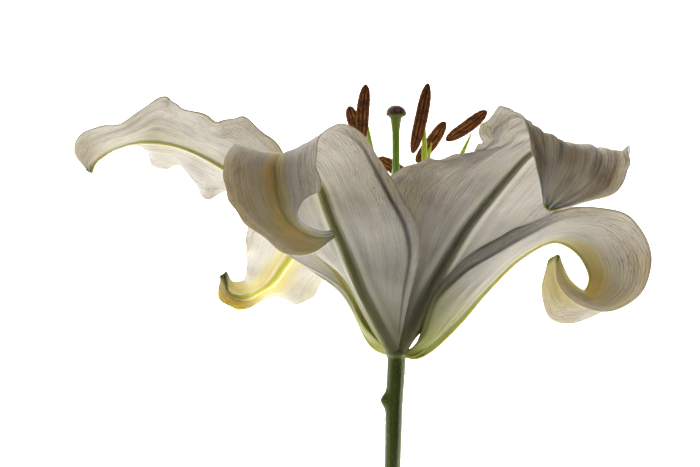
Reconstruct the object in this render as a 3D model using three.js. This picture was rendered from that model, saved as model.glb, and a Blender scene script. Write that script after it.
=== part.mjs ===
// A picked white lily flower, lying down: three outer and three inner tepals that curl back,
// six stamens, a pistil and a cut flower stalk.
// Lengths are millimetres. Every piece is drawn in the flower's own frame, where the tepals
// join the stalk at the origin and the flower opens along +Z. The flower group then lays
// the whole flower down, so that the cut end of the stalk and the two tepals at the back
// of the flower touch the table.
import * as THREE from 'three';

// Pose of the laid flower
const AXIS_TO_TABLE = 57.5; // degrees the flower is tipped, so its axis rises 32.5 from the table
const SEAT = new THREE.Vector3(12.23, -0.96, 51.68); // brings the middle of the flower over the origin

// Tepals
const LAMINA = 1.1; // thickness of the blade
const KEEL_HEIGHT = 1.5; // the midrib stands this far out of the back of the blade
const KEEL_HALF_WIDTH = 1.7;
const OUTER_RUFFLE = 0.5; // how far the margins wave to each side
const INNER_RUFFLE = 1.0;
const RUFFLES = 5; // waves along each margin
const CREASE = 1.6; // 2 is one smooth arc across the blade, 1 a sharp fold at the midrib
const STEPS_ALONG = 26;
const STEPS_ACROSS = 12;

// Flower stalk
const STALK_LENGTH = 92.5;
const STALK_END_RADIUS = 2.3;
const STALK_TOP_RADIUS = 3.3;
const RECEPTACLE_RADIUS = 4.4;
const SCAR_DEPTH_BELOW = 17.5; // the leaf scar's distance below the tepals
const SCAR_HEIGHT = 1.9; // how far the scar stands out
const SCAR_SPREAD = 2.6;

// Pistil
const OVARY_BOTTOM = 0.6;
const OVARY_TOP = 21;
const OVARY_RADIUS = 1.9;
const STYLE_TOP = 84;
const STYLE_RADIUS = 1.25;
const STIGMA_RADIUS = 3.5;
const STIGMA_HEIGHT = 4.6;
const PISTIL_GAP = 0.3; // clearance between the pieces of the pistil

// Stamens
const FILAMENT_FOOT_RADIUS = 1.0;
const FILAMENT_RADIUS = 1.35;
const FILAMENT_TIP_RADIUS = 0.4;
const FILAMENT_TAPER = 8; // the higher, the closer to the tip the filament narrows
const ANTHER_HALF_WIDTH = 2.2;
const ANTHER_HALF_DEPTH = 1.5;

const point = (x, y, z) => new THREE.Vector3(x, y, z);
const line = (points) => new THREE.CatmullRomCurve3(points, false, 'centripetal');

const white = { color: 0xece7de, roughness: 0.55 };
const COLOURS = {
  pedicel: { color: 0x5d7035, roughness: 0.5 },
  ovary: { color: 0x9db456, roughness: 0.45 },
  style: { color: 0x7f9c4a, roughness: 0.4 },
  stigma: { color: 0x4a2a2e, roughness: 0.35 },
  filament: { color: 0xb4c850, roughness: 0.45 },
  anther: { color: 0x7c3a1c, roughness: 0.9 },
};

function mesh(name, geometry, colour) {
  const material = new THREE.MeshStandardMaterial({ ...colour, metalness: 0 });
  const made = new THREE.Mesh(geometry, material);
  made.name = name;
  return made;
}

function solidFrom(corners, faces) {
  const geometry = new THREE.BufferGeometry();
  geometry.setAttribute('position', new THREE.Float32BufferAttribute(corners, 3));
  geometry.setIndex(faces);
  geometry.computeVertexNormals();
  return geometry;
}

// Columns lie closer together at the midrib, where the keel needs them.
function acrossAt(j) {
  const t = (2 * j) / STEPS_ACROSS - 1;
  return Math.sign(t) * Math.abs(t) ** 1.35;
}

// A tepal is given by rows from its base to its tip. Each row has a point on the midrib and
// the two margins beside it: first the one clockwise of the midrib, seen down the axis from
// above, then the other.
function tepal(name, rows, ruffle, phase) {
  const midrib = line(rows.map((row) => point(...row[0])));
  const margins = [line(rows.map((row) => point(...row[1]))), line(rows.map((row) => point(...row[2])))];

  // The blade bends away from a soft crease at the midrib, and waves more near the margins.
  const blade = (u, t) => {
    const m = midrib.getPoint(u);
    const a = margins[0].getPoint(u);
    const b = margins[1].getPoint(u);
    const half = b.clone().sub(a).multiplyScalar(0.5);
    const bow = a.add(b).multiplyScalar(0.5).sub(m);
    return m.addScaledVector(half, t).addScaledVector(bow, Math.abs(t) ** CREASE);
  };
  const upward = (u, t) => {
    const near = 0.004;
    const low = Math.max(u - near, 0);
    const high = Math.min(u + near, 1);
    const along = blade(high, t).sub(blade(low, t));
    const across = blade(u, t + near).sub(blade(u, t - near));
    return along.cross(across).normalize();
  };
  const halfWidth = (u) => margins[0].getPoint(u).distanceTo(margins[1].getPoint(u)) / 2;
  const wave = (u, t) => {
    const fade = Math.sin(Math.PI * u) ** 2;
    return ruffle * fade * Math.abs(t) ** 3 * Math.sin(2 * Math.PI * RUFFLES * u + phase * Math.sign(t));
  };

  const corners = [];
  for (let i = 0; i <= STEPS_ALONG; i += 1) {
    const u = i / STEPS_ALONG;
    const wide = halfWidth(u);
    const thick = LAMINA * (1 - 0.35 * u);
    const stand = KEEL_HEIGHT * (1 - 0.75 * u ** 1.5) * THREE.MathUtils.smoothstep(u, -0.06, 0.12);
    for (let j = 0; j <= STEPS_ACROSS; j += 1) {
      const t = acrossAt(j);
      const up = upward(u, t);
      const middle = blade(u, t).addScaledVector(up, wave(u, t));
      const keel = stand * Math.exp(-(((t * wide) / KEEL_HALF_WIDTH) ** 2));
      corners.push(...middle.clone().addScaledVector(up, thick / 2).toArray());
      corners.push(...middle.addScaledVector(up, -thick / 2 - keel).toArray());
    }
  }

  const top = (i, j) => 2 * (i * (STEPS_ACROSS + 1) + j);
  const under = (i, j) => top(i, j) + 1;
  const faces = [];
  const quad = (a, b, c, d) => faces.push(a, b, c, a, c, d);
  for (let i = 0; i < STEPS_ALONG; i += 1) {
    for (let j = 0; j < STEPS_ACROSS; j += 1) {
      quad(top(i, j), top(i + 1, j), top(i + 1, j + 1), top(i, j + 1));
      quad(under(i, j), under(i, j + 1), under(i + 1, j + 1), under(i + 1, j));
    }
    quad(top(i, 0), under(i, 0), under(i + 1, 0), top(i + 1, 0));
    const last = STEPS_ACROSS;
    quad(top(i, last), top(i + 1, last), under(i + 1, last), under(i, last));
  }
  for (let j = 0; j < STEPS_ACROSS; j += 1) {
    quad(top(0, j), top(0, j + 1), under(0, j + 1), under(0, j));
    const end = STEPS_ALONG;
    quad(top(end, j), under(end, j), under(end, j + 1), top(end, j + 1));
  }
  return mesh(name, solidFrom(corners, faces), white);
}

// A round piece along a line. The radius may change along the line and around it, and side
// is a direction that the angle 0 points towards.
function stem(curve, radiusAt, steps, sides, side, flat = 1) {
  const corners = [];
  const faces = [];
  for (let i = 0; i <= steps; i += 1) {
    const u = i / steps;
    const centre = curve.getPoint(u);
    const along = curve.getTangent(u);
    const deep = along.clone().cross(side).normalize();
    const wide = deep.clone().cross(along).normalize();
    for (let k = 0; k < sides; k += 1) {
      const angle = (2 * Math.PI * k) / sides;
      const radius = radiusAt(u, angle);
      const corner = centre.clone();
      corner.addScaledVector(wide, radius * Math.cos(angle));
      corner.addScaledVector(deep, radius * flat * Math.sin(angle));
      corners.push(...corner.toArray());
    }
  }
  const first = corners.length / 3;
  corners.push(...curve.getPoint(0).toArray(), ...curve.getPoint(1).toArray());
  for (let k = 0; k < sides; k += 1) {
    const next = (k + 1) % sides;
    for (let i = 0; i < steps; i += 1) {
      const a = i * sides + k;
      const b = i * sides + next;
      faces.push(a, b, b + sides, a, b + sides, a + sides);
    }
    faces.push(first, next, k);
    faces.push(first + 1, steps * sides + k, steps * sides + next);
  }
  return solidFrom(corners, faces);
}

const OUTER_RIGHT = [
  [[5.4, 0, 0.6], [5.1, -1.8, 1.2], [5.1, 1.8, 1.2]],
  [[10.7, 0, 1.6], [9.3, -8.3, 7.5], [9, 8.5, 7.5]],
  [[21, 0, 11], [13, -17, 21], [12, 18, 20]],
  [[31, 0, 22.5], [24, -21, 31], [22, 25, 31]],
  [[44, 0, 35], [44.6, -22, 42.3], [44, 25, 43]],
  [[56.8, 0, 41], [64, -24, 50.6], [60, 24, 50]],
  [[65.5, 0, 36.8], [82.8, -22, 50.5], [78, 20, 47]],
  [[70.3, 0, 28.2], [91.7, -18, 36], [86, 18, 32]],
  [[69.8, 1, 23.5], [87.7, -15, 20.9], [80, 16, 18]],
  [[67.7, 2, 21.1], [75.6, -12, 14], [68.6, 14, 11]],
  [[62, 2, 25], [62.6, -8, 18.6], [56, 12, 11]],
  [[59, 2, 31], [57.2, -5, 25.2], [52, 9, 22]],
  [[57.5, 1, 35], [57, -1, 33], [54.5, 3, 33.5]],
];

const OUTER_UPPER_LEFT = [
  [[-3.3, -4.2, 0.6], [-4.6, -2.7, 1.2], [-1.5, -5.1, 1.2]],
  [[-7, -9, 11], [-11, -4, 12], [2.2, -9.6, 8.3]],
  [[-13.3, -17, 24], [-19, -6, 26], [5, -22, 21]],
  [[-18.4, -23.5, 36.7], [-30.6, -10, 35], [8.2, -31, 37]],
  [[-24, -31, 50], [-44, -16, 44], [4.7, -38, 49]],
  [[-27.5, -35, 59.8], [-54, -24, 57], [-3, -42, 60]],
  [[-33, -42, 67], [-60, -34, 69], [-9, -47, 75]],
  [[-40.7, -51, 71.3], [-57.5, -47, 75.5], [-18.5, -57, 81]],
  [[-43.2, -56, 68], [-62, -54, 69.5], [-27, -65, 76.5]],
  [[-43.2, -58.5, 61], [-62.3, -59.5, 61], [-28.9, -71, 67]],
  [[-42, -58.5, 54], [-59.5, -62, 53.5], [-27, -72.5, 59]],
  [[-39.8, -56.5, 48.3], [-54, -63, 47], [-32.8, -68.5, 54]],
  [[-36, -54, 44.3], [-46.8, -62, 40.5], [-34.8, -63, 48.8]],
  [[-31, -50, 41.7], [-39, -58, 35], [-32, -56, 44.8]],
  [[-26.5, -46, 41.2], [-30.5, -52, 35.5], [-27, -49.5, 43.4]],
  [[-22, -41.5, 42.3], [-23, -42.5, 40.8], [-23.2, -41.8, 44]],
];

const OUTER_LOWER_LEFT = [
  [[-3.3, 4.2, 0.6], [-1.4, 5.1, 1.2], [-4.5, 2.7, 1.2]],
  [[-8, 10.5, 3.5], [-1.5, 11.5, 9], [-11, 3.5, 9]],
  [[-16, 20.5, 18.7], [-3, 25, 22], [-22, 8, 24]],
  [[-24.5, 31.4, 30.6], [-7, 42, 33], [-40, 15, 35]],
  [[-35.5, 43.5, 38], [-15, 57, 34], [-54, 26, 44]],
  [[-41.2, 51.7, 32], [-25, 66, 25], [-55.4, 38, 37]],
  [[-45.9, 58.8, 25.4], [-34, 69.5, 17.5], [-54.7, 49, 30.6]],
  [[-51, 64.5, 22], [-45, 72, 19.5], [-55.4, 57, 27]],
  [[-56, 70, 19.5], [-57.5, 70, 14.4], [-58, 65, 24.8]],
  [[-61.5, 71, 21], [-65, 69.5, 18.4], [-61, 68, 26]],
  [[-63.4, 69.5, 28], [-64.4, 69, 27.5], [-62.6, 68.8, 28.8]],
];

const INNER_LEFT = [
  [[-4.1, 0.2, 0.6], [-3.6, 2.1, 1.4], [-3.6, -1.9, 1.4]],
  [[-7.5, 0, 9], [-5.5, 6.3, 10], [-5.2, -6.2, 10]],
  [[-14.5, 0, 22], [-11, 12.5, 23], [-9.5, -12, 25]],
  [[-24.5, 0, 37], [-20, 20, 38], [-19, -18, 44]],
  [[-39, 0, 51], [-35, 24, 48], [-35, -22, 62]],
  [[-52, 0, 61], [-48, 25, 54], [-46, -22, 76]],
  [[-62, 0, 67], [-61, 25, 57.5], [-56, -22, 84.5]],
  [[-72, 0, 72.5], [-70, 25, 57], [-66, -21, 82.5]],
  [[-80, 0, 75.3], [-78, 23, 65], [-76, -20, 88]],
  [[-88, 0, 76.3], [-86, 20, 66], [-83, -18, 91.5]],
  [[-95, 0, 76], [-92, 16, 74], [-94, -17, 85]],
  [[-102, 0, 73.7], [-100, 12, 76], [-106, -15, 82]],
  [[-107, 0, 70.5], [-107, 8, 73], [-114.5, -12, 77]],
  [[-109.5, 0, 67.5], [-110.5, 4, 69], [-116, -7, 71.5]],
  [[-110.5, 0, 64.5], [-110.2, 1.2, 65], [-112, -1.5, 66]],
];

const INNER_UPPER_RIGHT = [
  [[2.8, -3.0, 0.6], [0.7, -4.0, 1.4], [3.7, -1.4, 1.3]],
  [[6, -7.4, 8.5], [-2.5, -7.2, 10], [9.6, -2, 9]],
  [[12.5, -15, 23.8], [-5, -14, 25], [22, -4, 23]],
  [[18.5, -21, 34.5], [-7, -19, 40], [33, -6, 32]],
  [[25, -27.5, 45], [-7, -23, 55], [45, -10, 42]],
  [[32, -34, 54], [-2, -26, 65], [56, -17, 51]],
  [[39, -41, 62.5], [8, -30, 68.4], [64, -27, 55]],
  [[46.5, -50, 71], [20.5, -38, 68.6], [74, -38, 60]],
  [[51, -55.5, 74], [30.8, -44, 73.6], [78.5, -44, 65.5]],
  [[55, -60.5, 75.4], [29.6, -51, 81.5], [82, -50.5, 70.5]],
  [[61, -68, 73.5], [37, -60, 89], [82, -62, 72]],
  [[60.5, -71, 67], [42, -68, 84], [82, -72, 66]],
  [[58, -70, 61.5], [47, -71, 74], [79, -75, 59]],
  [[55.5, -68, 57], [48.5, -71, 64], [70, -74, 55]],
  [[52.5, -65, 51], [51.5, -66, 52.5], [54, -66.5, 50.5]],
];

const INNER_LOWER_RIGHT = [
  [[1.9, 3.6, 0.6], [3.8, 1.7, 1.4], [-0.6, 4.1, 1.4]],
  [[4.7, 8.2, 8], [9.6, 3, 9.5], [-2.5, 8, 10]],
  [[10.3, 19.4, 23], [24, 10, 27], [-4, 20, 27]],
  [[16.9, 31.8, 36], [37, 18, 45], [-4, 36, 41]],
  [[24.4, 45.9, 46], [49, 31, 52], [-1, 55, 50]],
  [[31, 58.3, 50], [56, 45, 50], [6, 68, 50]],
  [[36.6, 68.9, 48], [55, 60, 46], [16, 77, 46]],
  [[41, 77, 42], [53, 71, 40], [28, 83.5, 41]],
  [[42.5, 82, 37.5], [48, 79, 37], [36, 85, 38]],
  [[42, 84.5, 38], [43.5, 84, 38.2], [40.5, 85, 38.4]],
];

const TEPALS = [
  tepal('outer_tepal_right', OUTER_RIGHT, OUTER_RUFFLE, 0.4),
  tepal('outer_tepal_upper_left', OUTER_UPPER_LEFT, OUTER_RUFFLE, 1.2),
  tepal('outer_tepal_lower_left', OUTER_LOWER_LEFT, OUTER_RUFFLE, 2.2),
  tepal('inner_tepal_left', INNER_LEFT, INNER_RUFFLE, 0.9),
  tepal('inner_tepal_upper_right', INNER_UPPER_RIGHT, INNER_RUFFLE, 2.0),
  tepal('inner_tepal_lower_right', INNER_LOWER_RIGHT, INNER_RUFFLE, 1.5),
];

// Each stamen: where its anther begins and ends, where the filament meets the anther, and a
// point that the filament bends through on its way up from the base of the cup.
const STAMENS = [
  { anther: [[-17.3, 3, 88.6], [-11.5, 3, 76.3]], joint: [-13.2, 0.8, 82.4], bend: [-7.5, 0.5, 50] },
  { anther: [[-11.2, -20, 96.1], [-12.6, -20, 75.6]], joint: [-11.7, -17.7, 86.1], bend: [-6, -10, 52] },
  { anther: [[11, -19, 96.5], [5.5, -19, 71.3]], joint: [9.6, -16.7, 85], bend: [9.5, -10, 52] },
  { anther: [[17.6, 16, 83.2], [7, 16, 68.5]], joint: [12.6, 13.6, 75.5], bend: [6.5, 8, 45] },
  { anther: [[32.4, 1, 86.9], [17.6, 1, 76.2]], joint: [26.9, 1, 78.9], bend: [15, 0.5, 52] },
  { anther: [[-6.6, 16, 70.2], [6.5, 18, 61.5]], joint: [-1.5, 14, 66], bend: [-2.5, 7, 40] },
];

function anther({ anther: [from, to] }, number) {
  const start = point(...from);
  const end = point(...to);
  const middle = start.clone().add(end).multiplyScalar(0.5);
  const bow = point(middle.x, middle.y, 0).normalize().multiplyScalar(0.8);
  const path = line([start, middle.add(bow), end]);
  const facing = point(1, 0, 0.2);
  // Two pollen lobes with a groove between them, rounded at both ends
  const radiusAt = (u, angle) => {
    const ends = Math.max(1 - Math.abs(2 * u - 1) ** 3.2, 0) ** 0.5;
    const groove = 1 - 0.22 * Math.sin(angle) ** 6;
    return ANTHER_HALF_WIDTH * Math.max(ends, 0.14) * groove;
  };
  const flat = ANTHER_HALF_DEPTH / ANTHER_HALF_WIDTH;
  return mesh(`anther_${number}`, stem(path, radiusAt, 10, 10, facing, flat), COLOURS.anther);
}

function filament({ joint, bend }, number) {
  const top = point(...joint);
  const outward = point(joint[0], joint[1], 0).normalize();
  const foot = outward.clone().multiplyScalar(3.0).setZ(3.2);
  const path = line([foot, foot.clone().lerp(point(...bend), 0.4), point(...bend), top]);
  const radiusAt = (u) => {
    const swelling = THREE.MathUtils.smoothstep(u, 0.1, 0.5);
    const body = THREE.MathUtils.lerp(FILAMENT_FOOT_RADIUS, FILAMENT_RADIUS, swelling);
    return THREE.MathUtils.lerp(body, FILAMENT_TIP_RADIUS, u ** FILAMENT_TAPER);
  };
  const side = point(-outward.y, outward.x, 0);
  return mesh(`filament_${number}`, stem(path, radiusAt, 9, 8, side), COLOURS.filament);
}

// The stalk widens under the tepals, and carries the scar of a small leaf on one side.
function pedicel() {
  const path = line([
    point(-4.5, 0, -STALK_LENGTH),
    point(-3.2, 0, -70),
    point(-1.6, 0, -40),
    point(-1.0, 0, -18),
    point(-0.4, 0, -8),
    point(0, 0, -0.6),
  ]);
  const radiusAt = (u, angle) => {
    const up = path.getPoint(u).z;
    const plain = THREE.MathUtils.mapLinear(up, -STALK_LENGTH, 0, STALK_END_RADIUS, STALK_TOP_RADIUS);
    const flare = (RECEPTACLE_RADIUS - STALK_TOP_RADIUS) * THREE.MathUtils.smoothstep(up, -5, -1);
    const level = Math.exp(-(((up + SCAR_DEPTH_BELOW) / SCAR_SPREAD) ** 2));
    const scar = SCAR_HEIGHT * level * Math.max(-Math.cos(angle), 0) ** 4;
    return plain + flare + scar;
  };
  return mesh('pedicel', stem(path, radiusAt, 30, 14, point(1, 0, 0)), COLOURS.pedicel);
}

function pistil() {
  const upright = (low, high) => line([point(0, 0, low), point(-0.3, 0, (low + high) / 2), point(-0.5, 0, high)]);
  const ovaryLine = line([point(0, 0, OVARY_BOTTOM), point(0, 0, OVARY_TOP)]);
  const ridged = (u, angle) => {
    const belly = 0.72 + 0.28 * Math.sin(Math.PI * Math.min(u * 1.15, 1)) ** 0.6;
    return OVARY_RADIUS * belly * (1 + 0.06 * Math.cos(6 * angle));
  };
  const flared = (u) => STYLE_RADIUS + 0.7 * THREE.MathUtils.smoothstep(u, 0.86, 1);
  const stigmaBottom = STYLE_TOP + PISTIL_GAP;
  const stigmaLine = line([point(-0.5, 0, stigmaBottom), point(-0.5, 0, stigmaBottom + STIGMA_HEIGHT)]);
  const lobed = (u, angle) => {
    const dome = (1 - Math.abs(1.7 * u - 0.75) ** 3) ** 0.5;
    return STIGMA_RADIUS * dome * (1 + 0.14 * Math.cos(3 * angle));
  };
  const side = point(1, 0, 0);
  return [
    mesh('ovary', stem(ovaryLine, ridged, 8, 12, side), COLOURS.ovary),
    mesh('style', stem(upright(OVARY_TOP + PISTIL_GAP, STYLE_TOP), flared, 12, 10, side), COLOURS.style),
    mesh('stigma', stem(stigmaLine, lobed, 7, 18, side), COLOURS.stigma),
  ];
}

const flower = new THREE.Group();
flower.name = 'flower';
flower.add(pedicel(), ...TEPALS, ...pistil());
STAMENS.forEach((stamen, index) => {
  flower.add(filament(stamen, index + 1), anther(stamen, index + 1));
});
flower.rotation.x = -THREE.MathUtils.degToRad(AXIS_TO_TABLE);
flower.position.copy(SEAT);

const part = new THREE.Group();
part.name = 'lily_flower';
part.add(flower);

export default part;
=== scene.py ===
# %% [markdown]
# # A picked white lily
# One large lily flower, cut with a hand's width of stalk and laid on a table. It has three outer
# and three inner tepals (a lily's petals and sepals look alike, so they share one name), six
# stamens and a pistil. The CAD model fixes where each piece is. Here every piece is made again,
# finer, and gets its finish.

import math

import bmesh
import bpy
from mathutils import Matrix, Vector, noise


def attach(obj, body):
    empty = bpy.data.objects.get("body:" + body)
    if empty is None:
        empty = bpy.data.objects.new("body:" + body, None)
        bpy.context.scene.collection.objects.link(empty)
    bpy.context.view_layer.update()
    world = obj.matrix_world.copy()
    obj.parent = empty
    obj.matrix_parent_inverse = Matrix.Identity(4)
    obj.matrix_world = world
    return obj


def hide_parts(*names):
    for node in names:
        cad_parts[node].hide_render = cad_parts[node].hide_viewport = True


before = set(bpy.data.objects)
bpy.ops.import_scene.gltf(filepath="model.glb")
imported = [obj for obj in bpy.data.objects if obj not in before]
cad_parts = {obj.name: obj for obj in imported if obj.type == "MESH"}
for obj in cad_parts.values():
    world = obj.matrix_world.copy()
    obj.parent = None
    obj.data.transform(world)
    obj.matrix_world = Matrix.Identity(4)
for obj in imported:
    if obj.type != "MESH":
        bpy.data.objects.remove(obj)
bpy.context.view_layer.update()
print("CAD pieces:", len(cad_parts))

# %% [markdown]
# ## The flower's own frame
# A flower is easiest to think about standing up: its axis along +Z, the tepals joined to the
# stalk at the origin, in millimetres. A picked lily can't stand, though. It tips over until the
# cut end and two tepals touch the table. One matrix holds that whole move, so every piece below
# can be drawn upright and laid down at the end.

# %% The matrix that lays the flower down
TIPPED = math.radians(-57.5)
SEAT_MM = Vector((12.23, -0.96, 51.68))
MM = 0.001

laid_turn = Matrix.Rotation(TIPPED, 4, "X")
laid = Matrix.Scale(MM, 4) @ Matrix.Translation(SEAT_MM) @ laid_turn
print("the tepals join the stalk at", [round(v, 4) for v in laid.translation])

# %% [markdown]
# ## Smooth lines through a few points
# Petals are made of curves, and a Catmull-Rom curve is the friendliest kind to draw with: it
# passes through every point it is given. Spacing its knots by the square root of the distance
# (the centripetal kind) stops it from looping where points crowd together, as they do in the
# tight curl at a tepal's tip.


# %% Curves and blends
def smooth_line(points):
    """A function that gives the place at 0 to 1 along a smooth curve through the points."""
    inside = [Vector(p) for p in points]
    knots = [inside[0] * 2 - inside[1], *inside, inside[-1] * 2 - inside[-2]]

    def place(u):
        where = min(max(u, 0.0), 1.0) * (len(inside) - 1)
        i = min(int(where), len(inside) - 2)
        w = where - i
        p0, p1, p2, p3 = knots[i : i + 4]
        d0, d1, d2 = ((b - a).length ** 0.5 or 1.0 for a, b in ((p0, p1), (p1, p2), (p2, p3)))
        leave = ((p1 - p0) / d0 - (p2 - p0) / (d0 + d1) + (p2 - p1) / d1) * d1
        arrive = ((p2 - p1) / d1 - (p3 - p1) / (d1 + d2) + (p3 - p2) / d2) * d1
        square = (p2 - p1) * 3 - leave * 2 - arrive
        cube = (p1 - p2) * 2 + leave + arrive
        return p1 + leave * w + square * w * w + cube * w**3

    return place


def ease(low, high, value):
    """0 below low, 1 above high, and a soft S between them."""
    x = min(max((value - low) / (high - low), 0.0), 1.0)
    return x * x * (3 - 2 * x)


print("halfway from 0 to 1:", ease(0, 1, 0.5))

# %% [markdown]
# ## Drawing a tepal
# A tepal is a blade with a stout rib down its middle, and its whole character is in how it
# bends: it climbs out of the cup, arches over and curls back, while its margins lag behind.
# So each tepal is drawn with three lines: its midrib and its two margins. They are typed as rows
# from base to tip: the midrib's point, the margin clockwise of it (looking down on the flower),
# and the other margin. The three outer tepals come first. They are narrow, with a thick keel.

# %% The rows of the outer tepals
OUTER_RIGHT = [
    ((2.6, 0, -0.6), (2.8, -1.8, 0.4), (2.8, 1.8, 0.4)),
    ((6.2, 0, -0.5), (5.6, -3.6, 1.8), (5.6, 3.6, 1.8)),
    ((10.7, 0, 1.6), (9.3, -8.3, 7.5), (9, 8.5, 7.5)),
    ((21, 0, 11), (13, -17, 21), (12, 18, 20)),
    ((31, 0, 22.5), (24, -21, 31), (22, 25, 31)),
    ((44, 0, 35), (44.6, -22, 42.3), (44, 25, 43)),
    ((56.8, 0, 41), (64, -24, 50.6), (60, 24, 50)),
    ((65.5, 0, 36.8), (82.8, -22, 50.5), (78, 20, 47)),
    ((70.3, 0, 28.2), (91.7, -18, 36), (86, 18, 32)),
    ((69.8, 1, 23.5), (87.7, -15, 20.9), (80, 16, 18)),
    ((67.7, 2, 21.1), (75.6, -12, 14), (68.6, 14, 11)),
    ((62, 2, 25), (62.6, -8, 18.6), (56, 12, 11)),
    ((59, 2, 31), (57.2, -5, 25.2), (52, 9, 22)),
    ((57.5, 1, 35), (57, -1, 33), (54.5, 3, 33.5)),
]
OUTER_UPPER_LEFT = [
    ((-1.6, -2.1, -0.6), (-2.9, -0.7, 0.2), (0.4, -2.9, 0.2)),
    ((-7, -9, 11), (-11, -4, 12), (2.2, -9.6, 8.3)),
    ((-13.3, -17, 24), (-19, -6, 26), (5, -22, 21)),
    ((-18.4, -23.5, 36.7), (-30.6, -10, 35), (8.2, -31, 37)),
    ((-24, -31, 50), (-44, -16, 44), (4.7, -38, 49)),
    ((-27.5, -35, 59.8), (-54, -24, 57), (-3, -42, 60)),
    ((-33, -42, 67), (-60, -34, 69), (-9, -47, 75)),
    ((-40.7, -51, 71.3), (-57.5, -47, 75.5), (-18.5, -57, 81)),
    ((-43.2, -56, 68), (-62, -54, 69.5), (-27, -65, 76.5)),
    ((-43.2, -58.5, 61), (-62.3, -59.5, 61), (-28.9, -71, 67)),
    ((-42, -58.5, 54), (-59.5, -62, 53.5), (-27, -72.5, 59)),
    ((-39.8, -56.5, 48.3), (-54, -63, 47), (-32.8, -68.5, 54)),
    ((-36, -54, 44.3), (-46.8, -62, 40.5), (-34.8, -63, 48.8)),
    ((-31, -50, 41.7), (-39, -58, 35), (-32, -56, 44.8)),
    ((-26.5, -46, 41.2), (-30.5, -52, 35.5), (-27, -49.5, 43.4)),
    ((-22, -41.5, 42.3), (-23, -42.5, 40.8), (-23.2, -41.8, 44)),
]
OUTER_LOWER_LEFT = [
    ((-1.6, 2.1, -0.6), (0.4, 2.9, 0.2), (-2.9, 0.7, 0.2)),
    ((-8, 10.5, 3.5), (-1.5, 11.5, 9), (-11, 3.5, 9)),
    ((-16, 20.5, 18.7), (-3, 25, 22), (-22, 8, 24)),
    ((-24.5, 31.4, 30.6), (-7, 42, 33), (-40, 15, 35)),
    ((-35.5, 43.5, 38), (-15, 57, 34), (-54, 26, 44)),
    ((-41.2, 51.7, 32), (-25, 66, 25), (-55.4, 38, 37)),
    ((-45.9, 58.8, 25.4), (-34, 69.5, 17.5), (-54.7, 49, 30.6)),
    ((-51, 64.5, 22), (-45, 72, 19.5), (-55.4, 57, 27)),
    ((-56, 70, 19.5), (-57.5, 70, 14.4), (-58, 65, 24.8)),
    ((-61.5, 71, 21), (-65, 69.5, 18.4), (-61, 68, 26)),
    ((-63.4, 69.5, 28), (-64.4, 69, 27.5), (-62.6, 68.8, 28.8)),
]
print("rows in the outer tepals:", len(OUTER_RIGHT), len(OUTER_UPPER_LEFT), len(OUTER_LOWER_LEFT))

# %% [markdown]
# The three inner tepals stand in the gaps between the outer ones. They are broader, and their
# margins are frilled.

# %% The rows of the inner tepals
INNER_LEFT = [
    ((-2.4, 0, -0.4), (-2, 1.8, 0.4), (-2, -1.8, 0.4)),
    ((-7.5, 0, 9), (-5.5, 6.3, 10), (-5.2, -6.2, 10)),
    ((-14.5, 0, 22), (-11, 12.5, 23), (-9.5, -12, 25)),
    ((-24.5, 0, 37), (-20, 20, 38), (-19, -18, 44)),
    ((-39, 0, 51), (-35, 24, 48), (-35, -22, 62)),
    ((-52, 0, 61), (-48, 25, 54), (-46.5, -22, 75)),
    ((-62, 0, 67), (-61, 25, 57.5), (-55.5, -22, 85.5)),
    ((-72, 0, 72.5), (-70, 25, 57), (-64.5, -21, 80.8)),
    ((-80, 0, 75.3), (-78, 23, 65), (-76, -20, 88)),
    ((-88, 0, 76.3), (-86, 20, 66), (-81.5, -18, 92)),
    ((-95, 0, 76), (-92, 16, 74), (-94, -17, 85)),
    ((-102, 0, 73.7), (-100, 12, 76), (-106, -15, 82)),
    ((-107, 0, 70.5), (-107, 8, 73), (-114.5, -12, 77)),
    ((-109.5, 0, 67.5), (-110.5, 4, 69), (-116, -7, 71.5)),
    ((-110.5, 0, 64.5), (-110.2, 1.2, 65), (-112, -1.5, 66)),
]
INNER_UPPER_RIGHT = [
    ((1.7, -1.8, -0.4), (0, -2.4, 0.4), (2.4, -0.4, 0.4)),
    ((6, -7.4, 8.5), (-2.5, -7.2, 10), (9.6, -2, 9)),
    ((12.5, -15, 23.8), (-5, -14, 25), (22, -4, 23)),
    ((18.5, -21, 34.5), (-7, -19, 40), (33, -6, 32)),
    ((25, -27.5, 45), (-7, -23, 55), (45, -10, 42)),
    ((32, -34, 54), (-2, -26, 65), (56, -17, 51)),
    ((39, -41, 62.5), (8, -30, 68.4), (64, -27, 55)),
    ((46.5, -50, 71), (21.5, -38, 70.5), (74, -38, 60)),
    ((51, -55.5, 74), (29.6, -44, 75.5), (78.5, -44, 65.5)),
    ((55, -60.5, 75.4), (29.6, -51, 81.5), (82, -50.5, 70.5)),
    ((61, -68, 73.5), (37, -60, 89), (82, -62, 72)),
    ((60.5, -71, 67), (42, -68, 84), (82, -72, 66)),
    ((58, -70, 61.5), (47, -71, 74), (79, -75, 59)),
    ((55.5, -68, 57), (48.5, -71, 64), (70, -74, 55)),
    ((52.5, -65, 51), (51.5, -66, 52.5), (54, -66.5, 50.5)),
]
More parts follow.
